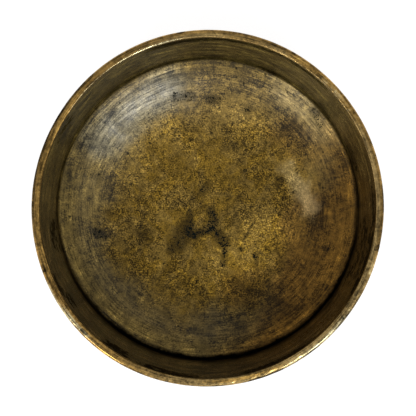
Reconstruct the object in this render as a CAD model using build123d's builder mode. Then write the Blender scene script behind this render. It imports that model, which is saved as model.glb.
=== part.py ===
"""Singing bowl, the straight-walled kind that is hammered from one disc of bell bronze.

The bowl is a single forging: a dished floor that stands on a flattened foot, a tight corner, a
steep wall that leans out a little, and a lip that was beaten down until it spread to both sides
of the wall. The floor and the corner are round. Hand work has left the rim slightly oval, so the
wall runs from a circle at the corner to an ellipse at the lip.

Frame: millimetres, +Z up. The origin is the centre of the foot, on the surface the bowl stands on.
"""

import os
from math import cos, radians, sin, tan

from build123d import *

# Driving dimensions
RIM_DIAMETER = 200.0  # mean diameter over the outside of the lip
RIM_OVALITY = 2.9  # long diameter of the rim minus its short diameter
OVAL_DIRECTION = 77.0  # degrees from +X round to the long diameter
HEIGHT = 90.0  # foot to the top of the lip
LIP_WIDTH = 4.4  # top of the lip, from inside edge to outside edge
LIP_DEPTH = 3.4  # height of the part of the lip that stands proud of the wall
LIP_BEVEL = 0.8  # height of the slope that runs the underside of the lip into the wall
LIP_OUTER_ROUND = 1.4
LIP_INNER_ROUND = 0.6
WALL_TOP_THICKNESS = 3.0  # just under the lip
WALL_LEAN = 3.2  # degrees that the outside of the wall leans out from vertical
FLOOR_THICKNESS = 2.4  # also the thickness round the corner
FLOOR_EDGE_SLOPE = 22.0  # degrees that the dished floor has climbed to where the corner starts
FOOT_RADIUS = 34.0  # flattened patch that the bowl stands on
CORNER_RADIUS = 5.2  # outside of the bend between floor and wall
LINE_WIDTH = 0.9  # incised lines round the outside of the wall
LINE_DEPTH = 0.35
LINE_CUT_CLEARANCE = 1.0  # how far the ring that cuts a line stands outside the wall
LINES_BELOW_RIM = (11.0, 13.8)  # from the top of the lip to the top of each line

# Worked out from the driving dimensions
OVAL_GAIN = RIM_OVALITY / 4  # what the long radius gains on the mean one, and the short one loses
LIP_OUTER = RIM_DIAMETER / 2
LIP_INNER = LIP_OUTER - LIP_WIDTH
LIP_BASE_Z = HEIGHT - LIP_DEPTH
LIP_OVERHANG = (LIP_WIDTH - WALL_TOP_THICKNESS) / 2
WALL_TOP_OUTER = LIP_OUTER - LIP_OVERHANG
WALL_TOP_INNER = LIP_INNER + LIP_OVERHANG
WALL_TOP_Z = LIP_BASE_Z - LIP_BEVEL

SLOPE = radians(FLOOR_EDGE_SLOPE)
LEAN = radians(WALL_LEAN)
CORNER_TURN = 90.0 - FLOOR_EDGE_SLOPE - WALL_LEAN
CORNER_REACH = CORNER_RADIUS * (cos(LEAN) - sin(SLOPE))
CORNER_RISE = CORNER_RADIUS * (cos(SLOPE) - sin(LEAN))

# The dish is the arc from the foot to the corner that lets the wall, at its own lean, arrive at
# the lip: the wall's line carried down to the ground gives the radius that the arc has to fill.
WALL_AT_GROUND = WALL_TOP_OUTER - WALL_TOP_Z * tan(LEAN)
DISH_REACH = WALL_AT_GROUND + CORNER_RISE * tan(LEAN) - CORNER_REACH - FOOT_RADIUS
DISH_RADIUS = DISH_REACH / (sin(SLOPE) - (1 - cos(SLOPE)) * tan(LEAN))
WALL_FOOT_Z = DISH_RADIUS * (1 - cos(SLOPE)) + CORNER_RISE
WALL_FOOT_OUTER = WALL_AT_GROUND + WALL_FOOT_Z * tan(LEAN)

# The outside of the bowl is filled first, and then the inside is cleared in the same steps. Each
# skin has its distance inside the outer one at the floor, and its mean radius at the top of the
# wall and at the lip.
SKINS = (
    (0.0, WALL_TOP_OUTER, LIP_OUTER, Mode.ADD),
    (FLOOR_THICKNESS, WALL_TOP_INNER, LIP_INNER, Mode.SUBTRACT),
)


def level(z):
    """Horizontal plane at height z, with its x direction along the long diameter."""
    return Plane.XY.offset(z).rotated((0, 0, OVAL_DIRECTION))


def oval(mean_radius, gain=OVAL_GAIN):
    """Ellipse about the centre line. The gain is 0 for a circle, and OVAL_GAIN at the rim."""
    return Ellipse(mean_radius + gain, mean_radius - gain)


with BuildPart() as bowl:
    for inset, wall_top, lip, mode in SKINS:
        # Round base: flat foot, dish and corner, filled in to the centre line
        wall_foot = WALL_FOOT_OUTER - inset * cos(LEAN)
        wall_foot_z = WALL_FOOT_Z + inset * sin(LEAN)
        with BuildSketch(Plane.XZ.rotated((0, 0, OVAL_DIRECTION))):
            with BuildLine():
                foot = Line((0, inset), (FOOT_RADIUS, inset))
                dish = JernArc(foot @ 1, foot % 1, DISH_RADIUS - inset, FLOOR_EDGE_SLOPE)
                corner = JernArc(dish @ 1, dish % 1, CORNER_RADIUS - inset, CORNER_TURN)
                Polyline(corner @ 1, (0, wall_foot_z), foot @ 0)
            make_face()
        revolve(axis=Axis.Z, mode=mode)

        # Wall, from the round corner to the oval under the lip
        with BuildSketch(level(wall_foot_z)):
            oval(wall_foot, gain=0)
        with BuildSketch(level(WALL_TOP_Z)):
            oval(wall_top)
        loft(ruled=True, mode=mode)

        # Bevelled underside of the lip
        with BuildSketch(level(WALL_TOP_Z)):
            oval(wall_top)
        with BuildSketch(level(LIP_BASE_Z)):
            oval(lip)
        loft(ruled=True, mode=mode)

        # Lip
        with BuildSketch(level(LIP_BASE_Z)):
            oval(lip)
        extrude(amount=LIP_DEPTH, mode=mode)

    # The hammered lip has a soft outer edge and a crisper inner one
    lip_top = bowl.faces().filter_by(GeomType.PLANE).sort_by(Axis.Z)[-1]
    fillet(lip_top.outer_wire().edges(), radius=LIP_OUTER_ROUND)
    lip_top = bowl.faces().filter_by(GeomType.PLANE).sort_by(Axis.Z)[-1]
    fillet(lip_top.inner_wires()[0].edges(), radius=LIP_INNER_ROUND)

    # Incised lines round the outside, where the wall is part of the way from circle to oval
    for drop in LINES_BELOW_RIM:
        line_z = HEIGHT - drop - LINE_WIDTH
        climbed = (line_z - WALL_FOOT_Z) / (WALL_TOP_Z - WALL_FOOT_Z)
        wall_radius = WALL_FOOT_OUTER + climbed * (WALL_TOP_OUTER - WALL_FOOT_OUTER)
        with BuildSketch(level(line_z)):
            Circle(RIM_DIAMETER / 2 + LINE_CUT_CLEARANCE)
            gain = climbed * OVAL_GAIN
            core = wall_radius - LINE_DEPTH
            Ellipse(core + gain, core - gain, mode=Mode.SUBTRACT)
        extrude(amount=LINE_WIDTH, mode=Mode.SUBTRACT)

bowl.part.label = "bowl"

os.makedirs("parts", exist_ok=True)
export_step(bowl.part, "parts/bowl.step")
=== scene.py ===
"""Looks of the singing bowl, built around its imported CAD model.

The bowl is one hammered piece of bronze, so it is one mesh here too. The mesh is a half section
swept round the centre line, in millimetres, with the CAD's own dimensions: round floor and corner,
oval rim. Hammer scoops, an uneven lip and nicks are real geometry. The patina is a node material in
the bowl's own coordinates.
"""

from math import cos, pi, radians, sin, sqrt, tan

import bpy
import numpy as np
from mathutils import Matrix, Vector


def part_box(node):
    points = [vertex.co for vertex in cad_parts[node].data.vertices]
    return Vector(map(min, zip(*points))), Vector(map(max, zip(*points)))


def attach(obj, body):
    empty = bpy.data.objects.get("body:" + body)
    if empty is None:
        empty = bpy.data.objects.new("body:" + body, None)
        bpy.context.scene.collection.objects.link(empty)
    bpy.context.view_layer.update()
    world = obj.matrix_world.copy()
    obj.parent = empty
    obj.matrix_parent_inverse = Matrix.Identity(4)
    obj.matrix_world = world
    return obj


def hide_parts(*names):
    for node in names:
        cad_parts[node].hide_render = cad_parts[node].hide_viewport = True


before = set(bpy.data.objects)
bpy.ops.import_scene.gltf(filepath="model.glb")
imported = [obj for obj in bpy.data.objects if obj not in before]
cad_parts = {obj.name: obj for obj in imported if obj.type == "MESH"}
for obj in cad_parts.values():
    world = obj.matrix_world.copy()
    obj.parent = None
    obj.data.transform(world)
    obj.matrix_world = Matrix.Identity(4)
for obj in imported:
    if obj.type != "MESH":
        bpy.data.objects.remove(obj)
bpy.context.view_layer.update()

MM = 0.001


def tone(red, green, blue):
    """Linear colour of a surface named on a screen's 0 to 255 scale."""
    return tuple(((part / 255 + 0.055) / 1.055) ** 2.4 for part in (red, green, blue)) + (1.0,)


# The CAD model's driving dimensions, in millimetres
OVAL_DIRECTION = radians(77.0)
LIP_WIDTH = 4.4
LIP_DEPTH = 3.4
LIP_BEVEL = 0.8
LIP_OUTER_ROUND = 1.4
LIP_INNER_ROUND = 0.6
WALL_TOP_THICKNESS = 3.0
WALL_LEAN = radians(3.2)
FLOOR_THICKNESS = 2.4
FLOOR_EDGE_SLOPE = radians(22.0)
FOOT_RADIUS = 34.0
CORNER_RADIUS = 5.2
LINE_WIDTH = 0.9
LINE_DEPTH = 0.35
LINES_BELOW_RIM = (11.0, 13.8)

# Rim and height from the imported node: its box holds an ellipse whose long diameter is turned
# OVAL_DIRECTION from +X, and whose half-extents give back its two radii.
low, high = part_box("bowl")
HALF_X = (high.x - low.x) / 2 / MM
HALF_Y = (high.y - low.y) / 2 / MM
HEIGHT = (high.z - low.z) / MM
SQUARE_SUM = HALF_X**2 + HALF_Y**2
SQUARE_DIFFERENCE = (HALF_X**2 - HALF_Y**2) / cos(2 * OVAL_DIRECTION)
LONG_RADIUS = sqrt((SQUARE_SUM + SQUARE_DIFFERENCE) / 2)
SHORT_RADIUS = sqrt((SQUARE_SUM - SQUARE_DIFFERENCE) / 2)
LIP_OUTER = (LONG_RADIUS + SHORT_RADIUS) / 2
OVAL_GAIN = (LONG_RADIUS - SHORT_RADIUS) / 2

# Worked out as in the CAD
LIP_INNER = LIP_OUTER - LIP_WIDTH
LIP_BASE_Z = HEIGHT - LIP_DEPTH
LIP_OVERHANG = (LIP_WIDTH - WALL_TOP_THICKNESS) / 2
WALL_TOP_OUTER = LIP_OUTER - LIP_OVERHANG
WALL_TOP_INNER = LIP_INNER + LIP_OVERHANG
WALL_TOP_Z = LIP_BASE_Z - LIP_BEVEL
CORNER_REACH = CORNER_RADIUS * (cos(WALL_LEAN) - sin(FLOOR_EDGE_SLOPE))
CORNER_RISE = CORNER_RADIUS * (cos(FLOOR_EDGE_SLOPE) - sin(WALL_LEAN))
WALL_AT_GROUND = WALL_TOP_OUTER - WALL_TOP_Z * tan(WALL_LEAN)
DISH_REACH = WALL_AT_GROUND + CORNER_RISE * tan(WALL_LEAN) - CORNER_REACH - FOOT_RADIUS
DISH_CHORD = sin(FLOOR_EDGE_SLOPE) - (1 - cos(FLOOR_EDGE_SLOPE)) * tan(WALL_LEAN)
DISH_RADIUS = DISH_REACH / DISH_CHORD
WALL_FOOT_Z = DISH_RADIUS * (1 - cos(FLOOR_EDGE_SLOPE)) + CORNER_RISE

# Hand work
SEED = 7
RIM_STRAY = 0.12  # how far the rim strays in and out
RIM_LOBES = 3  # low lobes round the rim
LOBE_HEIGHT = 0.12  # how far they stand out
LOBE_DIRECTION = radians(-21.0)
RIM_WAVE = 0.18  # how far the lip strays up and down
OUTER_BLOW = 11.5  # spacing of the hammer marks on the outside
OUTER_SCOOP = 0.30  # depth of those marks
INNER_BLOW = 19.0
INNER_SCOOP = 0.10
LIP_BLOW = 9.0
LIP_SCOOP = 0.03
LIP_FADE = 5.0  # height below the lip over which the marks die out
BLOW_STRAY = 0.28  # how far a blow lands from its even place, as a share of the spacing
SOFT_RIDGE = 5.0  # square millimetres over which two marks run into each other
SCOOP_BOTTOM, RIDGE_TOP = -0.2, 1.6  # limits of a mark, in squares of half the spacing
UNMOVED = 0.55  # level between them that stays on the true shape
NICKS_PER_EDGE = 11
NICK_LENGTHS = (1.2, 3.0)
NICK_DEPTHS = (0.10, 0.32)
NICK_WIDTH = 1.1

# Marks on the floor, from one end (x, y) to the other (x, y): half-width, and strength. A film
# mark's strength is in stops of brightness, a stain's is how much of the metal it hides.
FILM_AND_HIGHLIGHT_MARKS = (
    # gold, where the film is thin, and painted highlights where noted
    ((22.0, -37.0), (14.0, -30.0), 8.0, 0.5), ((27.0, -22.0), (38.0, -8.0), 7.0, 0.4),
    ((-26.0, -6.0), (-28.0, -34.0), 6.0, 0.4), ((-14.0, 33.0), (12.0, 32.0), 6.0, 0.4),
    ((-28.0, 47.0), (-22.0, 53.0), 7.0, 0.4), ((82.0, 2.0), (84.0, -14.0), 5.0, 0.3),
    ((78.0, -26.0), (70.0, -42.0), 5.0, 0.6), ((-76.0, 14.0), (-72.0, 4.0), 7.0, 0.4),
    ((-36.0, -58.0), (-16.0, -70.0), 7.0, 0.3), ((30.0, -76.0), (26.0, -72.0), 4.0, 0.6),
    # painted highlight: the bright streak where a dent reflects a softbox
    ((50.0, 26.0), (63.0, 1.0), 5.5, 2.3), ((64.0, 28.0), (68.0, 12.0), 4.0, 0.6),
    ((14.0, 63.0), (34.0, 53.0), 7.0, 0.8), ((0.0, 66.0), (16.0, 65.0), 5.0, 0.6),
    ((30.0, -14.0), (52.0, -16.0), 7.0, 0.7), ((16.0, -34.0), (34.0, -32.0), 7.0, 0.7),
    ((0.0, -48.0), (16.0, -50.0), 6.0, 0.7),
    # the first is a painted highlight, the crescent where the left softbox reflects
    ((74.0, 48.0), (46.0, 76.0), 5.0, 1.4), ((-46.0, -72.0), (-10.0, -86.0), 5.0, 1.1),
    ((86.0, 10.0), (78.0, 38.0), 4.0, 0.6),
    # brown, where it is thick
    ((-14.0, -16.0), (-20.0, -27.0), 6.0, -0.8), ((-38.0, -4.0), (-39.0, -18.0), 5.0, -0.6),
    ((14.0, 42.0), (22.0, 36.0), 5.0, -0.6), ((43.0, 18.0), (44.0, 0.0), 7.0, -0.6),
    ((44.0, 54.0), (58.0, 46.0), 7.0, -0.8), ((71.0, 2.0), (69.0, -24.0), 5.0, -0.9),
    ((78.0, 24.0), (74.0, 8.0), 6.0, -0.7), ((18.0, -3.0), (14.0, -7.0), 5.0, -0.6),
    ((-18.0, 3.0), (-9.0, 5.0), 5.0, -0.7),
    ((-67.0, -15.0), (-64.0, -17.0), 4.0, -0.9), ((-62.0, 15.0), (-60.0, 10.0), 4.5, -0.7),
    ((18.0, -51.0), (46.0, -57.0), 7.0, -0.9), ((10.0, -68.0), (34.0, -70.0), 7.0, -0.5),
    ((-48.0, 16.0), (-45.0, -30.0), 8.0, -0.3), ((-20.0, 70.0), (-8.0, 70.0), 5.0, -0.6),
    ((30.0, 74.0), (44.0, 66.0), 5.0, -0.6),
    ((0.0, 69.0), (6.0, 67.0), 4.0, -0.8), ((-52.0, -46.0), (-42.0, -52.0), 7.0, -0.4),
)
# Painted highlights: the floor greyed where the softboxes reflect
GREY_HIGHLIGHT_MARKS = (
    ((-66.0, 44.0), (-24.0, 76.0), 12.0, 0.7), ((50.0, 25.0), (64.0, 0.0), 6.0, 0.4),
    ((74.0, 48.0), (46.0, 76.0), 8.0, 0.2),
)
WARM_MARKS = (((50.0, 46.0), (68.0, 34.0), 10.0, 0.5), ((22.0, -50.0), (46.0, -50.0), 12.0, 0.5))
BLACK_STAINS = (
    ((-11.0, -2.5), (-11.5, -8.0), 1.9, 0.6), ((-11.5, -9.0), (-12.5, -14.0), 3.0, 0.85),
    ((-11.5, -15.0), (-8.0, -16.5), 2.6, 0.9), ((-8.5, -16.0), (3.0, -12.5), 2.2, 0.85),
    ((2.0, -12.5), (4.0, -7.5), 2.8, 0.85), ((4.0, -7.5), (2.0, -1.0), 2.4, 0.75),
    ((4.0, -12.5), (7.0, -16.0), 2.4, 0.65), ((7.0, -17.5), (10.5, -22.0), 3.4, 0.8),
    ((11.2, -25.0), (9.6, -35.0), 1.9, 0.8), ((-18.0, -17.0), (-20.0, -22.0), 6.0, 0.34),
    ((-24.5, -27.0), (-22.0, -26.0), 1.7, 0.55), ((-3.5, 10.5), (-0.5, 14.5), 2.4, 0.45),
    ((28.5, -9.5), (22.0, -20.5), 0.6, 0.6),
    ((23.0, 23.4), (23.0, 23.4), 1.3, 0.9), ((20.6, -25.9), (20.6, -25.9), 1.5, 0.9),
    ((29.5, -29.0), (30.5, -34.0), 1.2, 0.7), ((1.0, 68.5), (6.0, 67.5), 2.6, 0.5),
    ((-19.0, 70.0), (-11.0, 70.0), 3.0, 0.4), ((23.5, 61.0), (26.0, 62.0), 2.2, 0.5),
    ((-69.0, -15.0), (-65.0, -17.0), 2.6, 0.6), ((66.0, 60.0), (70.0, 52.0), 2.5, 0.4),
)

# Marks along the lip and the wall: middle and half-span in degrees round from +X, place and
# half-width as shares of the way across the lip from outside in, or down the wall, and strength
# Painted highlights: pale glints where the lip's rounded edges catch the softboxes
LIP_GLINT_MARKS = (
    (114, 22, 0.65, 0.05, 0.7), (136, 14, 0.65, 0.04, 0.6),
    (213, 13, 0.34, 0.07, 0.6), (222, 14, 0.46, 0.08, 0.5), (311, 20, 0.40, 0.09, 0.8),
    (335, 12, 0.40, 0.07, 0.4), (42, 20, 0.55, 0.12, 0.35),
)
# Bright gold, partly the lip's own tone and partly painted glints
LIP_GOLD_AND_GLINT_MARKS = (
    (242, 15, 0.40, 0.08, 0.6), (165, 34, 0.58, 0.09, 0.9), (282, 22, 0.54, 0.08, 0.8),
    (46, 24, 0.52, 0.12, 1.0), (76, 14, 0.58, 0.08, 0.5), (140, 12, 0.56, 0.06, 0.6),
    (193, 16, 0.57, 0.10, 0.8), (224, 16, 0.58, 0.07, 0.6),
)
LIP_DIRT = (
    (154, 32, 0.32, 0.10, 1.0), (305, 8, 0.29, 0.06, 1.0), (278, 24, 0.28, 0.07, 0.8),
    (50, 1.6, 0.52, 0.10, 0.8), (61, 1.4, 0.36, 0.08, 0.8), (200, 1.6, 0.45, 0.15, 0.8),
    (213, 4, 0.58, 0.06, 0.7), (321, 2, 0.45, 0.10, 0.7), (333, 5, 0.54, 0.08, 0.6),
    (347, 1.6, 0.42, 0.12, 0.8), (4, 6, 0.32, 0.07, 0.5), (146, 2.5, 0.34, 0.10, 0.7),
    (98, 3, 0.34, 0.08, 0.6), (225, 2, 0.50, 0.08, 0.5), (16, 3, 0.40, 0.08, 0.4),
    (46, 26, 0.66, 0.06, 0.4),
)
WALL_DIRT = (
    (70, 34, 0.07, 0.09, 1.0), (99, 16, 0.08, 0.12, 1.2), (207, 6, 0.09, 0.12, 0.8),
    (214, 4, 0.30, 0.12, 0.7), (237, 7, 0.14, 0.18, 0.9), (256, 13, 0.08, 0.13, 1.1),
    (294, 18, 0.08, 0.12, 1.1), (340, 17, 0.08, 0.13, 1.0), (0, 11, 0.12, 0.12, 0.8),
    (151, 7, 0.30, 0.20, 0.6), (19, 8, 0.86, 0.12, 0.7), (190, 8, 0.75, 0.20, 0.6),
    (344, 18, 0.45, 0.40, 0.45),
)

# Colours, as they look under even light. The shaded, glint and highlight colours are painted
# light and shade.
GOLD = tone(146, 114, 38)
OLIVE = tone(130, 104, 46)
RING = tone(120, 100, 50)
# Grey of the floor's painted highlights
HIGHLIGHT_GREY = tone(120, 113, 90)
WARM = tone(124, 90, 34)
TAN = tone(127, 103, 51)
BLUE_BLACK = tone(20, 28, 27)
# Near black, for the painted shade and dirt in the inner corner
SHADE_AND_DIRT = tone(7, 7, 4)
BLACK = tone(0, 0, 0)
# The wall's colours in painted light to +Y and in painted shade to -Y
WALL_LIT = tone(89, 76, 37)
WALL_SHADED = tone(92, 71, 38)
LIP = tone(160, 134, 85)
LIP_LEFT = tone(163, 127, 67)
# Browner outer edge of the lip, partly its own tone and partly painted shade
LIP_BROWN_SHADE = tone(146, 116, 64)
# Colours of the lip's painted glints: pale, and a bright gold that is partly its own tone
LIP_GLINT = tone(196, 182, 140)
LIP_GOLD_AND_GLINT = tone(181, 143, 76)
OUTSIDE = tone(100, 77, 37)

# How strongly each noise of the patina mottles each surface, in stops
FLOOR_CLOUDS = {"cloud": 1.0, "blotch": 3.2, "patch": 3.4}
FLOOR_MOTTLE = {"grain": 3.6, "speck": 10.5}
FLOOR_SCRAPES = {"grain": 2.8, "speck": 6.2, "fine_streak": 5.2, "broad_streak": 3.4}
WALL_TEXTURE = {"cloud": 1.6, "blotch": 3.5, "patch": 4.0, "grain": 5.0, "speck": 5.0,
                "broad_streak": 3.5, "long_streak": 8.0}
LIP_TEXTURE = {"cloud": 1.2, "blotch": 2.0, "patch": 3.0, "grain": 3.0, "speck": 2.5,
               "fine_streak": 7.0, "broad_streak": 2.5}
OUTSIDE_TEXTURE = {"cloud": 1.6, "blotch": 2.6, "patch": 2.4, "grain": 3.0, "speck": 5.0,
                   "fine_streak": 3.0}

# The same noises where they break up the border of a mask, vary how metallic the wall is, and raise
# the grain of the surface
MARK_BORDER = {"blotch": 1.6, "patch": 1.8, "grain": 1.4, "long_streak": 2.0}
STAIN_BORDER = {"patch": 1.6, "grain": 3.2, "speck": 5.5}
CORNER_BORDER = {"patch": 5.0, "grain": 3.0, "long_streak": 6.0}  # in millimetres
WALL_METAL = {"long_streak": -1.5, "blotch": -0.8}
BUMPS = {"grain": 0.5, "speck": 0.25, "fine_streak": 0.5, "patch": 0.6}
BUMP_HEIGHT = 0.06  # in millimetres
LIP_POLISH = 0.9  # how much of that grain is worn off the lip

# Places that the patina follows, in millimetres
CORNER_ALONG = 107.0  # radius plus height at the bottom of the inner corner
FLOOR_REACH = 91.0  # radius of the floor where the corner starts
STREAK_RADIUS = 84.0  # radius at which a streak has its full length
STREAK_CORE = 30.0  # radius inside which streaks no longer keep their length

# Camera, in millimetres
CAMERA_ABOVE_RIM = 771.0
FRAME_WIDTH_AT_RIM = 234.0
CAMERA_X, CAMERA_Y = 0.2, 0.24

# Studio
SKY_LOW, SKY_HIGH = 0.95, 0.36  # brightness near the horizon, and overhead
DIM_POLE_LEAN = radians(12)  # the dimmest part of the sky leans this far from overhead to +Y
SOFTBOX_DISTANCE = 1.3  # metres from the bowl
SOFTBOX_SIZE = 0.26
COOL = (0.93, 0.97, 1.0)
STUDIO_HALF = 6.0  # metres from the middle of the studio floor to its edge
PAPER = (0.5, 0.5, 0.5, 1.0)
WHITE = (1.0, 1.0, 1.0, 1.0)

# Mesh
SECTORS = 440
GROOVE_RINGS = 5  # rings of points across each incised line
FLOOR_BLEND = 3.0  # height over which the floor's patina gives way to the wall's
BLOCK = 4000  # points whose distances to the blows are worked out at once
ATLAS_DISCS = {"floor": (0.275, 0.275, 0.27), "base": (0.775, 0.215, 0.21)}  # centre, radius
ATLAS_STRIPS = {"outer wall": (0.56, 0.745), "inner wall": (0.755, 0.93), "lip": (0.94, 0.995)}
ATLAS_MARGIN = 0.004
ARC_ENDS = 0.4  # share of its half-span up to which a mark round the lip is whole
ARC_EDGES = (1.4, 0.6)  # where it has died out, and where it is whole, as shares of its half-width


# ---------------------------------------------------------------------------------------------
# Half section: points (radius, height) from the centre of the underside, out and up over the
# lip, and back down to the centre of the floor
# ---------------------------------------------------------------------------------------------

def line(start, end, steps):
    """Points after start, up to and with end."""
    share = np.linspace(0, 1, steps + 1)[1:, None]
    return np.array(start) * (1 - share) + np.array(end) * share


def arc(centre, radius, start, end, steps):
    """Points after start, up to and with end. Angles run anticlockwise from +r."""
    angle = np.linspace(start, end, steps + 1)[1:]
    return np.array(centre) + radius * np.stack([np.cos(angle), np.sin(angle)], 1)


def base(inset, foot_steps, dish_steps, corner_steps):
    """Foot, dish and corner of the skin that lies inset inside the outer one."""
    down, slope = -pi / 2, FLOOR_EDGE_SLOPE - pi / 2
    dish_centre = np.array([FOOT_RADIUS, DISH_RADIUS])
    outward = np.array([cos(slope), sin(slope)])
    corner_centre = dish_centre + (DISH_RADIUS - CORNER_RADIUS) * outward
    return np.concatenate([
        line((0, inset), (FOOT_RADIUS, inset), foot_steps),
        arc(dish_centre, DISH_RADIUS - inset, down, slope, dish_steps),
        arc(corner_centre, CORNER_RADIUS - inset, slope, -WALL_LEAN, corner_steps),
    ])


def outer_wall(start, steps):
    """The outside of the wall above start, with its incised lines cut as round-bottomed grooves."""
    middles = [HEIGHT - drop - LINE_WIDTH / 2 for drop in LINES_BELOW_RIM]
    heights = np.linspace(start[1], WALL_TOP_Z, steps + 1)[1:]
    for middle in middles:
        heights = heights[abs(heights - middle) > LINE_WIDTH]
    across = LINE_WIDTH * np.linspace(-0.5, 0.5, GROOVE_RINGS)
    grooves = [middle + across for middle in middles]
    heights = np.sort(np.concatenate([heights] + grooves))
    depth = np.zeros_like(heights)
    for middle in middles:
        depth += LINE_DEPTH * np.clip(1 - (2 * (heights - middle) / LINE_WIDTH) ** 2, 0, None)
    radii = np.interp(heights, [start[1], WALL_TOP_Z], [start[0], WALL_TOP_OUTER]) - depth
    return np.stack([radii, heights], 1)


def half_section():
    """Points of the whole half section, and the zone that each one belongs to."""
    outside = base(0, foot_steps=9, dish_steps=30, corner_steps=7)
    wall = outer_wall(outside[-1], steps=42)
    outer_round = (LIP_OUTER - LIP_OUTER_ROUND, HEIGHT - LIP_OUTER_ROUND)
    inner_round = (LIP_INNER + LIP_INNER_ROUND, HEIGHT - LIP_INNER_ROUND)
    lip = np.concatenate([
        line((WALL_TOP_OUTER, WALL_TOP_Z), (LIP_OUTER, LIP_BASE_Z), steps=2),
        line((LIP_OUTER, LIP_BASE_Z), (LIP_OUTER, outer_round[1]), steps=3),
        arc(outer_round, LIP_OUTER_ROUND, 0, pi / 2, steps=6),
        line((outer_round[0], HEIGHT), (inner_round[0], HEIGHT), steps=4),
        arc(inner_round, LIP_INNER_ROUND, pi / 2, pi, steps=4),
        line((LIP_INNER, inner_round[1]), (LIP_INNER, LIP_BASE_Z), steps=3),
        line((LIP_INNER, LIP_BASE_Z), (WALL_TOP_INNER, WALL_TOP_Z), steps=2),
    ])
    inside = base(FLOOR_THICKNESS, foot_steps=10, dish_steps=34, corner_steps=7)[::-1]
    inner_wall = line((WALL_TOP_INNER, WALL_TOP_Z), inside[0], steps=36)[:-1]
    pieces = {"base": outside, "outer wall": wall, "lip": lip, "inner wall": inner_wall,
              "floor": inside}
    zones = np.concatenate([[name] * len(points) for name, points in pieces.items()])
    return np.concatenate(list(pieces.values())), zones


def section_normals(points):
    """Outward normals of the half section, from each point's neighbours."""
    ends = np.array([[0.0, points[0, 1]], [0.0, points[-1, 1]]])
    padded = np.concatenate([ends[:1], points, ends[1:]])
    along = padded[2:] - padded[:-2]
    along /= np.linalg.norm(along, axis=1)[:, None]
    return np.stack([along[:, 1], -along[:, 0]], 1)


# ---------------------------------------------------------------------------------------------
# Hand work: everything that moves the skin off the perfect shape, in millimetres
# ---------------------------------------------------------------------------------------------

def wander(angle, strength, first, last, rng):
    """A smooth uneven line round the bowl, from a few harmonics with falling strength."""
    total = np.zeros_like(angle)
    for harmonic in range(first, last + 1):
        total += np.cos(harmonic * angle + rng.uniform(0, 2 * pi)) * rng.uniform(0.4, 1) / harmonic
    return strength * total / np.abs(total).max()


def oval_radius(mean_radius, height, angle):
    """Distance from the centre line to the skin: round at the corner, oval at the rim."""
    climbed = np.clip((height - WALL_FOOT_Z) / (WALL_TOP_Z - WALL_FOOT_Z), 0, 1)
    long_radius = mean_radius + climbed * OVAL_GAIN
    short_radius = mean_radius - climbed * OVAL_GAIN
    turned = angle - OVAL_DIRECTION
    return long_radius * short_radius / np.sqrt(
        (short_radius * np.cos(turned)) ** 2 + (long_radius * np.sin(turned)) ** 2)


def place(radius, height, angle):
    """Points of the skin in space, in millimetres."""
    reach = oval_radius(radius, height, angle)
    return np.stack([reach * np.cos(angle), reach * np.sin(angle),
                     np.broadcast_to(height, reach.shape)], -1)


def hammer_blows(points, spacing, rng):
    """Where the hammer struck one skin: loose rings of blows, about spacing apart."""
    steps = np.linalg.norm(np.diff(points, axis=0), axis=1)
    travelled = np.concatenate([[0], np.cumsum(steps)])
    blows = []
    for distance in np.arange(spacing / 2, travelled[-1], spacing):
        radius = np.interp(distance, travelled, points[:, 0])
        count = max(3, round(2 * pi * radius / spacing))
        aside = rng.uniform(-BLOW_STRAY, BLOW_STRAY, count)
        turns = (np.arange(count) + aside) / count + rng.uniform()
        ahead = rng.uniform(-BLOW_STRAY, BLOW_STRAY, count) * spacing
        offsets = np.clip(distance + ahead, 0, travelled[-1])
        blows.append(place(np.interp(offsets, travelled, points[:, 0]),
                           np.interp(offsets, travelled, points[:, 1]), 2 * pi * turns))
    return np.concatenate(blows)


def scoops(skin, blows):
    """Square of the distance from each point to the nearest blow, soft where two are equal."""
    nearest = np.empty(len(skin))
    for first in range(0, len(skin), BLOCK):
        block = skin[first:first + BLOCK]
        squares = ((block[:, None, :] - blows[None]) ** 2).sum(-1)
        least = squares.min(1)
        crowd = np.exp(-(squares - least[:, None]) / SOFT_RIDGE).sum(1)
        nearest[first:first + BLOCK] = least - SOFT_RIDGE * np.log(crowd)
    return nearest


def hammered(points, angle, spacing, depth, rng):
    """Displacement of one skin by its hammer marks: minus depth in a scoop, plus on a ridge."""
    skin = place(points[:, :1], points[:, 1:], angle[None, :])
    blows = hammer_blows(points, spacing, rng)
    reach = (spacing / 2) ** 2
    shape = scoops(skin.reshape(-1, 3), blows).reshape(skin.shape[:2]) / reach
    return depth * (np.clip(shape, SCOOP_BOTTOM, RIDGE_TOP) - UNMOVED)


def fade(value, empty, full):
    """0 at empty, 1 at full, smooth between them and held beyond."""
    share = np.clip((value - empty) / (full - empty), 0, 1)
    return share * share * (3 - 2 * share)


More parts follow.
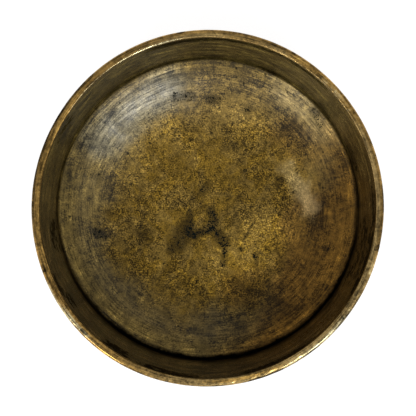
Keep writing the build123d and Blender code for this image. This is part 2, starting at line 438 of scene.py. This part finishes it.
def hand_work(points, zones, angle, rng):
    """Displacement of every point along its section normal: hammer marks, and nicks in the lip."""
    push = np.zeros((len(points), len(angle)))
    height = points[:, 1:]

    outside = np.isin(zones, ["base", "outer wall"])
    marks = hammered(points[outside], angle, OUTER_BLOW, OUTER_SCOOP, rng)
    marks *= fade(height[outside], WALL_TOP_Z, WALL_TOP_Z - LIP_FADE)
    push[outside] += marks

    inside = np.isin(zones, ["inner wall", "floor"])
    marks = hammered(points[inside], angle, INNER_BLOW, INNER_SCOOP, rng)
    marks *= fade(height[inside], WALL_TOP_Z, WALL_TOP_Z - LIP_FADE)
    push[inside] += marks

    lip = zones == "lip"
    push[lip] += hammered(points[lip], angle, LIP_BLOW, LIP_SCOOP, rng)
    for edge in (LIP_OUTER - LIP_OUTER_ROUND / 2, LIP_INNER):
        for _ in range(NICKS_PER_EDGE):
            turned = (angle - rng.uniform(0, 2 * pi) + pi) % (2 * pi) - pi
            across = np.hypot(points[:, 0] - edge, points[:, 1] - HEIGHT)
            length, depth = rng.uniform(*NICK_LENGTHS), rng.uniform(*NICK_DEPTHS)
            bite = np.exp(-((turned * LIP_OUTER / length) ** 2))
            push -= depth * np.exp(-((across / NICK_WIDTH) ** 2))[:, None] * bite[None, :]
    return push


# ---------------------------------------------------------------------------------------------
# Mesh
# ---------------------------------------------------------------------------------------------

def travel(points, zones):
    """Where each ring lies on its zone's stretch of the section, as a share of the stretch: first
    the ring before it, and then the ring itself."""
    first = np.linalg.norm(points[0] - (0, points[0, 1]))
    steps = np.concatenate([[first], np.linalg.norm(np.diff(points, axis=0), axis=1)])
    travelled = np.cumsum(steps)
    before, end = np.empty(len(points)), np.empty(len(points))
    for zone in dict.fromkeys(zones):
        rings = np.flatnonzero(zones == zone)
        start = travelled[rings[0]] - steps[rings[0]]
        finish = travelled[rings[-1]]
        if zone == "floor":
            finish += points[-1, 0]  # the floor runs on to its centre
        before[rings] = (travelled[rings] - steps[rings] - start) / (finish - start)
        end[rings] = (travelled[rings] - start) / (finish - start)
    return before, end


def atlas(zone, share, turn):
    """Where a point lands in the one square of texture space laid out for the patina: the floor and
    the underside as discs, the walls and the lip as strips."""
    if zone in ATLAS_DISCS:
        centre_u, centre_v, size = ATLAS_DISCS[zone]
        reach = size * (1 - share if zone == "floor" else share)
        return np.stack([centre_u + reach * np.cos(2 * pi * turn),
                         centre_v + reach * np.sin(2 * pi * turn)], -1)
    bottom, top = ATLAS_STRIPS[zone]
    across = ATLAS_MARGIN + (1 - 2 * ATLAS_MARGIN) * turn
    return np.stack([across, np.broadcast_to(bottom + (top - bottom) * share, turn.shape)], -1)


def shell_faces(rings):
    """Corners of every face: the two fans at the centres, and the quads between rings."""
    here = np.arange(SECTORS)
    after = (here + 1) % SECTORS
    under, floor_centre = rings * SECTORS, rings * SECTORS + 1
    last = (rings - 1) * SECTORS
    fan = np.stack([np.full(SECTORS, under), after, here], 1)
    faces = fan.tolist()
    for ring in range(rings - 1):
        low, up = ring * SECTORS, (ring + 1) * SECTORS
        faces += np.stack([low + here, low + after, up + after, up + here], 1).tolist()
    faces += np.stack([last + here, last + after, np.full(SECTORS, floor_centre)], 1).tolist()
    return faces


def shell_uvs(points, zones):
    """Texture place of every face corner, in the order of shell_faces."""
    before, end = travel(points, zones)
    turn = np.arange(SECTORS) / SECTORS
    beyond = turn + 1 / SECTORS
    centre = np.zeros(SECTORS)
    fan = [atlas("base", centre, turn), atlas("base", end[0], beyond), atlas("base", end[0], turn)]
    uvs = [np.stack(fan, 1).reshape(-1, 2)]
    for ring in range(1, len(points)):
        zone = zones[ring]
        corners = [atlas(zone, before[ring], turn), atlas(zone, before[ring], beyond),
                   atlas(zone, end[ring], beyond), atlas(zone, end[ring], turn)]
        uvs.append(np.stack(corners, 1).reshape(-1, 2))
    fan = [atlas("floor", end[-1], turn), atlas("floor", end[-1], beyond),
           atlas("floor", centre + 1, turn)]
    uvs.append(np.stack(fan, 1).reshape(-1, 2))
    return np.concatenate(uvs)


def set_attribute(mesh, name, rings, floor_centre=0):
    """Store one number per point. Rings has a row per ring, of one number or one per sector. The
    centre of the underside has 0."""
    spread = np.broadcast_to(rings, (len(rings), SECTORS)).ravel()
    values = np.concatenate([spread, [0, floor_centre]]).astype(np.float32)
    mesh.attributes.new(name, "FLOAT", "POINT").data.foreach_set("value", values)


def arcs(marks, zone, across, angle):
    """Strength at every ring and sector of marks that lie along circles in one zone."""
    total = np.zeros((len(across), len(angle)))
    for middle, span, share, width, strength in marks:
        turned = np.abs((angle - radians(middle) + pi) % (2 * pi) - pi)
        along = fade(turned, radians(span), radians(span * ARC_ENDS))
        empty, full = [width * edge for edge in ARC_EDGES]
        level = strength * zone * fade(np.abs(across - share), empty, full)
        total = np.maximum(total, level[:, None] * along[None, :])
    return total


def build_bowl():
    """The whole bowl as one closed mesh, with the masks that its patina reads."""
    rng = np.random.default_rng(SEED)
    angle = np.arange(SECTORS) * 2 * pi / SECTORS
    points, zones = half_section()
    normals = section_normals(points)
    push = hand_work(points, zones, angle, rng)

    # The rim isn't quite true: it strays in and out, and up and down, and the wall less so below it
    climbed = np.clip((points[:, 1:] - WALL_FOOT_Z) / (WALL_TOP_Z - WALL_FOOT_Z), 0, 1)
    stray = wander(angle, RIM_STRAY, first=4, last=11, rng=rng)
    stray += LOBE_HEIGHT * np.cos(RIM_LOBES * (angle - LOBE_DIRECTION))
    stray_out = climbed * stray[None, :]
    stray_up = climbed**2 * wander(angle, RIM_WAVE, first=2, last=9, rng=rng)[None, :]

    radius = points[:, :1] + push * normals[:, :1] + stray_out
    height = np.maximum(points[:, 1:] + push * normals[:, 1:] + stray_up, 0)
    reach = oval_radius(radius, points[:, 1:], angle[None, :])
    skin = np.stack([reach * np.cos(angle), reach * np.sin(angle), height], -1)
    centres = [[0, 0, height[0].mean()], [0, 0, height[-1].mean()]]
    vertices = np.concatenate([skin.reshape(-1, 3), centres]) * MM

    mesh = bpy.data.meshes.new("singing_bowl")
    mesh.from_pydata(vertices.tolist(), [], shell_faces(len(points)))
    mesh.shade_smooth()
    mesh.uv_layers.new(name="OFBake").data.foreach_set(
        "uv", shell_uvs(points, zones).astype(np.float32).ravel())

    on_floor, on_lip, on_wall = zones == "floor", zones == "lip", zones == "inner wall"
    low_down = fade(points[:, 1], WALL_FOOT_Z, WALL_FOOT_Z - FLOOR_BLEND)
    across = travel(points, zones)[1]
    set_attribute(mesh, "floor", (on_floor * low_down)[:, None], floor_centre=1)
    set_attribute(mesh, "lip", on_lip[:, None])
    set_attribute(mesh, "inside", (on_floor | on_wall)[:, None], floor_centre=1)
    set_attribute(mesh, "relief", push / OUTER_SCOOP)
    set_attribute(mesh, "across", across[:, None], floor_centre=1)
    set_attribute(mesh, "pale", arcs(LIP_GLINT_MARKS, on_lip, across, angle))
    set_attribute(mesh, "gold", arcs(LIP_GOLD_AND_GLINT_MARKS, on_lip, across, angle))
    dirt = arcs(LIP_DIRT, on_lip, across, angle) + arcs(WALL_DIRT, on_wall, across, angle)
    set_attribute(mesh, "dirt", dirt)
    obj = bpy.data.objects.new("singing_bowl", mesh)
    bpy.context.scene.collection.objects.link(obj)
    return obj


# ---------------------------------------------------------------------------------------------
# Patina. Places are in millimetres, shares run from 0 to 1, and brightness is in stops.
# ---------------------------------------------------------------------------------------------

class Graph:
    """Short names for one material's shader nodes. Any input is a socket or a plain value."""

    def __init__(self, material):
        material.use_nodes = True
        self.tree = material.node_tree
        self.tree.nodes.clear()

    def node(self, kind, inputs, **settings):
        made = self.tree.nodes.new(kind)
        for name, value in settings.items():
            setattr(made, name, value)
        for key, value in inputs.items():
            if isinstance(value, bpy.types.NodeSocket):
                self.tree.links.new(value, made.inputs[key])
            else:
                made.inputs[key].default_value = value
        return made

    def math(self, operation, first, second=0.0):
        return self.node("ShaderNodeMath", {0: first, 1: second}, operation=operation).outputs[0]

    def add(self, *terms):
        total = terms[0]
        for term in terms[1:]:
            total = self.math("ADD", total, term)
        return total

    def times(self, *factors):
        total = factors[0]
        for factor in factors[1:]:
            total = self.math("MULTIPLY", total, factor)
        return total

    def most(self, *values):
        total = values[0]
        for value in values[1:]:
            total = self.math("MAXIMUM", total, value)
        return total

    def rest(self, value):
        """1 minus value."""
        return self.math("SUBTRACT", 1.0, value)

    def vector(self, operation, first, second=(0.0, 0.0, 0.0), output=0):
        made = self.node("ShaderNodeVectorMath", {0: first, 1: second}, operation=operation)
        return made.outputs[output]

    def stretch(self, vector, amount):
        made = self.node("ShaderNodeVectorMath", {0: vector, "Scale": amount}, operation="SCALE")
        return made.outputs[0]

    def step(self, value, empty, full):
        """0 at empty, 1 at full, smooth between them and held beyond."""
        inputs = {"Value": value, "From Min": empty, "From Max": full}
        settings = {"interpolation_type": "SMOOTHSTEP", "clamp": False}
        return self.node("ShaderNodeMapRange", inputs, **settings).outputs[0]

    def noise(self, vector, size, detail=2.0, roughness=0.5, warp=0.0, output=0):
        """Cloudy noise with features about size units across."""
        inputs = {"Vector": vector, "Scale": 1.0 / size, "Detail": detail,
                  "Roughness": roughness, "Distortion": warp}
        return self.node("ShaderNodeTexNoise", inputs).outputs[output]

    def blend(self, share, first, second, within=True):
        """Colour that runs from first to second with share, and stays between them if within."""
        made = self.node("ShaderNodeMix", {0: share, 6: first, 7: second}, data_type="RGBA",
                         clamp_factor=within)
        return made.outputs[2]

    def attribute(self, name):
        return self.node("ShaderNodeAttribute", {}, attribute_name=name).outputs["Fac"]


class Patina(Graph):
    """The bowl's material: its places and noises, and the masks made of them."""

    def __init__(self, material):
        super().__init__(material)
        coordinates = self.node("ShaderNodeTexCoord", {}).outputs["Object"]
        self.place = self.stretch(coordinates, 1 / MM)
        self.x, self.y, self.z = self.node("ShaderNodeSeparateXYZ", {0: self.place}).outputs
        level = self.vector("MULTIPLY", self.place, (1.0, 1.0, 0.0))
        self.radius = self.vector("LENGTH", level, output=1)
        self.along = self.add(self.radius, self.z)
        self.floor, self.lip, self.inside, self.relief, self.across = [
            self.attribute(name) for name in ("floor", "lip", "inside", "relief", "across")]

        # Noise in the round, and noise drawn out along circles about the centre line
        self.cloud = self.noise(self.place, size=34, detail=3, warp=0.6)
        self.blotch = self.noise(self.place, size=11, detail=3, roughness=0.6, warp=0.8)
        self.patch = self.noise(self.place, size=4.5, detail=2, roughness=0.6, warp=0.5)
        self.grain = self.noise(self.place, size=2.2, detail=2, roughness=0.6)
        self.speck = self.noise(self.place, size=0.85, detail=2, roughness=0.6)
        self.fine_streak = self.streaks(width=0.8, length=14)
        self.broad_streak = self.streaks(width=3.0, length=22)
        self.long_streak = self.streaks(width=7.0, length=16)
        self.rugged = self.step(self.noise(self.place, size=15, detail=3, warp=1.0), 0.38, 0.62)

    def streaks(self, width, length):
        """Noise drawn out along circles about the centre line."""
        turn = self.math("DIVIDE", STREAK_RADIUS / length, self.most(self.radius, STREAK_CORE))
        inputs = {0: self.times(self.x, turn), 1: self.times(self.y, turn),
                  2: self.math("DIVIDE", self.along, width)}
        drawn = self.node("ShaderNodeCombineXYZ", inputs).outputs[0]
        return self.noise(drawn, size=1.0, detail=2, roughness=0.6)

    def pits(self, spacing, size):
        """Small round pits of many sizes, up to size times the spacing across each way."""
        inputs = {"Vector": self.place, "Scale": 1.0 / spacing}
        cells = self.node("ShaderNodeTexVoronoi", inputs)
        random = self.node("ShaderNodeSeparateColor", {0: cells.outputs["Color"]}).outputs[0]
        reach = self.times(random, random, random, size)
        inside = self.math("SUBTRACT", reach, cells.outputs["Distance"])
        return self.step(inside, -0.03, 0.03)

    def stops(self, strengths):
        """Sum of the named noises at their strengths, each centred on nothing."""
        parts = [self.times(self.math("SUBTRACT", getattr(self, name), 0.5), strength)
                 for name, strength in strengths.items()]
        return self.add(*parts)

    def expose(self, colour, stops):
        """Colour made brighter by so many stops, where a film darkens more than wear brightens."""
        stops = self.add(self.times(stops, 0.9), self.times(self.math("ABSOLUTE", stops), -0.3))
        return self.blend(self.math("POWER", 2.0, stops), BLACK, colour, within=False)

    def marks(self, place, marks, soft, join):
        """Straight marks, each ((x, y), (x, y), half-width, strength), joined to one mask. Soft is
        the share of its half-width over which a mark dies out."""
        total = 0.0
        for start, end, width, strength in marks:
            span = Vector(end) - Vector(start)
            offset = self.vector("SUBTRACT", place, (*start, 0.0))
            reach = self.vector("DOT_PRODUCT", offset, (*span, 0.0), output=1)
            reach = self.times(reach, 1 / max(span.length_squared, 1.0))
            reach = self.math("MINIMUM", self.most(reach, 0.0), 1.0)
            nearest = self.stretch((*span, 0.0), reach)
            away = self.vector("DISTANCE", offset, nearest, output=1)
            mask = self.step(away, width * (1 + soft), width * (1 - soft))
            total = join(total, self.times(mask, strength))
        return total

    def broken(self, mask, worn=1.0):
        """A mask that noise has broken up, the more the more worn it is."""
        total = self.add(mask, self.times(self.stops(MARK_BORDER), worn))
        return self.times(self.step(total, 0.2, 0.9), self.step(mask, 0.0, 0.2))

    def shaken(self, size, reach):
        """Place on the floor, pushed about by noise."""
        push = self.noise(self.place, size, detail=3, roughness=0.6, output=1)
        red, green, _ = self.node("ShaderNodeSeparateColor", {0: push}).outputs
        moved = {0: self.add(self.x, self.times(self.add(red, -0.5), reach)),
                 1: self.add(self.y, self.times(self.add(green, -0.5), reach))}
        return self.node("ShaderNodeCombineXYZ", moved).outputs[0]


def floor_colour(skin):
    """Golden in the middle, a greyer scraped ring round it, warmer to +X and tan to +Y, with
    painted highlights, and painted light at the edge. Also the masks of the ring and of the warm
    side."""
    drift = skin.times(skin.math("SUBTRACT", skin.cloud, 0.5), 50)
    ring = skin.step(skin.add(skin.radius, drift), 48, 78)
    warm = skin.step(skin.add(skin.times(skin.x, 0.9), skin.times(skin.y, -0.4), drift), 35, 75)
    tan_side = skin.step(skin.add(skin.y, skin.times(skin.x, 0.2), drift), 35, 65)
    colour = skin.blend(skin.step(skin.blotch, 0.38, 0.62), GOLD, OLIVE)
    colour = skin.blend(ring, colour, RING)
    colour = skin.blend(skin.times(tan_side, 0.8), colour, TAN)
    shaken = skin.shaken(9, 14.0)
    warm = skin.most(warm, skin.marks(shaken, WARM_MARKS, 0.7, skin.most))
    colour = skin.blend(warm, colour, WARM)
    # Painted highlights: greyer where the softboxes reflect, with less grain
    grey_highlight = skin.marks(shaken, GREY_HIGHLIGHT_MARKS, 0.7, skin.most)
    colour = skin.blend(grey_highlight, colour, HIGHLIGHT_GREY)

    mottle, scrapes = skin.stops(FLOOR_MOTTLE), skin.stops(FLOOR_SCRAPES)
    texture = skin.node("ShaderNodeMix", {0: ring, 2: mottle, 3: scrapes}).outputs[0]
    texture = skin.times(texture, skin.add(0.6, skin.times(skin.rugged, 0.7)),
                         skin.rest(skin.times(grey_highlight, 0.35)))
    texture = skin.add(texture, skin.stops(FLOOR_CLOUDS))
    # Film marks, some of them painted highlights
    film = skin.marks(shaken, FILM_AND_HIGHLIGHT_MARKS, 0.9, skin.add)

    # The floor's edge is darker to +Y, and lighter to -Y with painted light where the wall shades
    # it from the softboxes; it is rubbed bright in a broken line just inside the corner
    edge = skin.step(skin.radius, FLOOR_REACH - 12, FLOOR_REACH - 2)
    edge = skin.times(edge, skin.add(0.3, skin.times(skin.step(skin.y, -30, 50), -1.0)))
    off_rub = skin.math("ABSOLUTE", skin.math("SUBTRACT", skin.radius, FLOOR_REACH - 2.2))
    rub = skin.times(skin.step(off_rub, 1.3, 0.2), skin.step(skin.broad_streak, 0.45, 0.6), 0.7)
    return skin.expose(colour, skin.add(texture, film, edge, rub)), ring, warm


def stain_mask(skin):
    """Stains and pits on the floor, their borders broken by the grain."""
    near = skin.marks(skin.shaken(3, 4.0), BLACK_STAINS, 0.8, skin.most)
    broken = skin.add(near, skin.stops(STAIN_BORDER))
    stain = skin.times(skin.step(broken, 0.3, 1.05), skin.step(near, 0.0, 0.3))
    pits = skin.times(skin.pits(4.5, 0.20), 0.75)
    return skin.times(skin.most(stain, pits), skin.floor)


def lip_colour(skin, dirt):
    """Redder to -X and browner outside, partly in painted shade; streaked lengthwise, worn bright
    in places, with painted glints, painted light to +Y, and pits.
    """
    colour = skin.blend(skin.step(skin.x, 0, -70), LIP, LIP_LEFT)
    # Browner outside, partly its own tone and partly painted shade, away from the softboxes at -Y
    outer = skin.times(skin.step(skin.across, 0.54, 0.42), skin.step(skin.y, -60, 0))
    colour = skin.blend(outer, colour, LIP_BROWN_SHADE)
    # Bright gold, partly its own tone, and pale painted glints where the rounded edges catch the
    # softboxes
    colour = skin.blend(skin.broken(skin.attribute("gold"), worn=0.4), colour, LIP_GOLD_AND_GLINT)
    colour = skin.blend(skin.broken(skin.attribute("pale"), worn=0.4), colour, LIP_GLINT)
    inside = skin.times(skin.step(skin.across, 0.68, 0.80), -1.2)
    film = skin.times(skin.step(skin.blotch, 0.56, 0.66), skin.step(skin.patch, 0.4, 0.6), -1.6)
    # Painted light: the lip is lighter to +Y and +X
    painted_lip_light = skin.times(skin.step(skin.add(skin.y, skin.times(skin.x, 0.6)), 50, 110), 0.5)
    texture = skin.stops(LIP_TEXTURE)
    return skin.expose(colour, skin.add(texture, inside, film, painted_lip_light, skin.times(dirt, -2.2)))


def wall_colour(skin, dirt):
    """Olive and lighter to +Y, browner and darker to -Y: painted light and shade."""
    lit = skin.step(skin.add(skin.times(skin.y, 0.9), skin.times(skin.x, -0.1)), -40, 60)
    # Painted light and shade: lighter to +Y, darker to -Y; and darker with dirt
    film = skin.add(skin.times(lit, 1.3), -0.58, skin.times(dirt, -2.6))
    colour = skin.blend(lit, WALL_SHADED, WALL_LIT)
    return skin.expose(colour, skin.add(film, skin.stops(WALL_TEXTURE)))


def outside_colour(skin):
    """Darker in the hammer marks, and darkest in the incised lines."""
    hollow = skin.times(skin.relief, 0.45)
    lines = [skin.math("ABSOLUTE", skin.math("SUBTRACT", skin.z, HEIGHT - drop - LINE_WIDTH / 2))
             for drop in LINES_BELOW_RIM]
    line = skin.most(*[skin.step(away, LINE_WIDTH * 0.6, LINE_WIDTH * 0.2) for away in lines])
    film = skin.add(hollow, skin.times(line, -2.0), skin.stops(OUTSIDE_TEXTURE))
    return skin.expose(OUTSIDE, film)


def corner_shade_and_dirt(skin):
    """Mask of painted shade and some dirt in the inner corner, thickest and highest to -Y."""
    shaded_side = skin.step(skin.add(skin.times(skin.y, -0.9), skin.times(skin.x, 0.2)), -40, 65)
    off_corner = skin.add(skin.along, -CORNER_ALONG, skin.stops(CORNER_BORDER))
    up_wall = skin.step(off_corner, skin.add(4.0, skin.times(shaded_side, 21.0)), skin.times(shaded_side, 4.0))
    up_floor = skin.step(off_corner, skin.add(-1.5, skin.times(shaded_side, -3.2)), 0.0)
    return skin.times(up_wall, up_floor, skin.inside, skin.add(0.45, skin.times(shaded_side, 0.55)))


def patina():
    """Old bronze: golden metal under a brown film, mottled and scraped, stained and dirty. It also
    carries painted highlights, glints, light and shade.
    """
    material = bpy.data.materials.new("aged_bronze")
    skin = Patina(material)
    on_floor, ring, warm = floor_colour(skin)
    stain = stain_mask(skin)
    on_floor = skin.blend(stain, on_floor, BLUE_BLACK)

    dirt = skin.broken(skin.attribute("dirt"), worn=1.4)
    colour = skin.blend(skin.inside, outside_colour(skin), wall_colour(skin, dirt))
    colour = skin.blend(skin.floor, colour, on_floor)
    colour = skin.blend(skin.lip, colour, lip_colour(skin, dirt))
    corner = corner_shade_and_dirt(skin)
    # Painted shade, with some dirt, in the inner corner
    colour = skin.blend(corner, colour, SHADE_AND_DIRT)

    # Clean metal shines, and the scraped ring of the floor has a streaky sheen on top
    clean = skin.rest(skin.most(stain, corner, skin.times(dirt, 0.95)))
    streaky = skin.step(skin.fine_streak, 0.35, 0.65)
    edge = skin.step(skin.radius, FLOOR_REACH - 14, FLOOR_REACH - 3)
    sheen = skin.times(ring, skin.floor, clean, skin.rest(skin.times(warm, 0.8)),
                       skin.rest(skin.times(edge, 0.6)),
                       skin.rest(skin.times(skin.step(skin.x, -10, 50), 0.5)))
    on_wall = skin.times(skin.inside, skin.rest(skin.floor))
    metal = skin.add(0.5, skin.times(skin.lip, 0.3), skin.times(on_wall, skin.stops(WALL_METAL)))
    rough = skin.add(0.24, skin.times(streaky, -0.06), skin.times(skin.floor, 0.10),
                     skin.times(skin.lip, -0.04), skin.times(skin.grain, 0.12),
                     skin.times(skin.rest(clean), 0.3))
    even = skin.rest(skin.times(skin.lip, LIP_POLISH))
    bump = skin.node("ShaderNodeBump", {"Height": skin.stops(BUMPS), "Strength": even,
                                        "Distance": BUMP_HEIGHT * MM})
    inputs = {"Base Color": colour, "Roughness": rough, "Normal": bump.outputs[0],
              "Metallic": skin.times(metal, clean),
              "Specular IOR Level": skin.times(skin.add(0.2, skin.times(sheen, 0.2)), clean),
              "Coat Weight": skin.times(sheen, skin.add(0.13, skin.times(streaky, 0.27))),
              "Coat Roughness": 0.22, "Coat IOR": 1.7}
    shader = skin.node("ShaderNodeBsdfPrincipled", inputs)
    skin.node("ShaderNodeOutputMaterial", {"Surface": shader.outputs[0]})
    return material


# ---------------------------------------------------------------------------------------------
# Studio
# ---------------------------------------------------------------------------------------------

def softbox(name, azimuth, zenith, power):
    """A square lamp that faces the bowl, azimuth degrees round from +X and zenith degrees down
    from straight overhead."""
    lamp = bpy.data.lights.new(name, "AREA")
    lamp.size = SOFTBOX_SIZE
    lamp.energy = power
    lamp.color = COOL
    obj = bpy.data.objects.new(name, lamp)
    turn, lean = radians(azimuth), radians(zenith)
    target = Vector((0, 0, HEIGHT / 2 * MM))
    direction = Vector((sin(lean) * cos(turn), sin(lean) * sin(turn), cos(lean)))
    obj.location = target + direction * SOFTBOX_DISTANCE
    obj.rotation_euler = direction.to_track_quat("Z", "Y").to_euler()
    bpy.context.scene.collection.objects.link(obj)


def studio():
    """Plain pale floor, a soft white surround and two softboxes."""
    sides = ((-1, -1), (1, -1), (1, 1), (-1, 1))
    corners = [(STUDIO_HALF * x, STUDIO_HALF * y, 0) for x, y in sides]
    mesh = bpy.data.meshes.new("studio_floor")
    mesh.from_pydata(corners, [], [(0, 1, 2, 3)])
    floor = bpy.data.objects.new("studio_floor", mesh)
    bpy.context.scene.collection.objects.link(floor)
    paper = bpy.data.materials.new("white_paper")
    graph = Graph(paper)
    inputs = {"Base Color": PAPER, "Roughness": 0.9, "Emission Color": WHITE,
              "Emission Strength": 0.8}
    shader = graph.node("ShaderNodeBsdfPrincipled", inputs)
    graph.node("ShaderNodeOutputMaterial", {"Surface": shader.outputs[0]})
    mesh.materials.append(paper)

    world = bpy.data.worlds.new("studio")
    bpy.context.scene.world = world
    graph = Graph(world)
    direction = graph.node("ShaderNodeTexCoord", {}).outputs["Generated"]
    dim_pole = (0.0, sin(DIM_POLE_LEAN), cos(DIM_POLE_LEAN))
    upward = graph.vector("DOT_PRODUCT", direction, dim_pole, output=1)
    overhead = graph.step(upward, 0.25, 0.85)
    strength = graph.add(SKY_LOW, graph.times(overhead, SKY_HIGH - SKY_LOW))
    light = graph.node("ShaderNodeBackground", {"Color": WHITE, "Strength": strength})
    graph.node("ShaderNodeOutputWorld", {"Surface": light.outputs[0]})
    softbox("softbox_right", azimuth=302, zenith=27, power=3.1)
    softbox("softbox_left", azimuth=231, zenith=37, power=2.6)


def overhead_camera():
    """Straight above the bowl, framed a little wider than the rim."""
    camera = bpy.data.cameras.new("overhead")
    camera.sensor_width = 36.0
    camera.lens = camera.sensor_width * CAMERA_ABOVE_RIM / FRAME_WIDTH_AT_RIM
    camera.clip_start = 0.01
    obj = bpy.data.objects.new("overhead", camera)
    obj.location = (CAMERA_X * MM, CAMERA_Y * MM, (HEIGHT + CAMERA_ABOVE_RIM) * MM)
    bpy.context.scene.collection.objects.link(obj)
    bpy.context.scene.camera = obj


bowl = build_bowl()
bowl.data.materials.append(patina())
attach(bowl, "root")
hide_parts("bowl")
studio()
overhead_camera()
bpy.context.scene.view_settings.view_transform = "Standard"
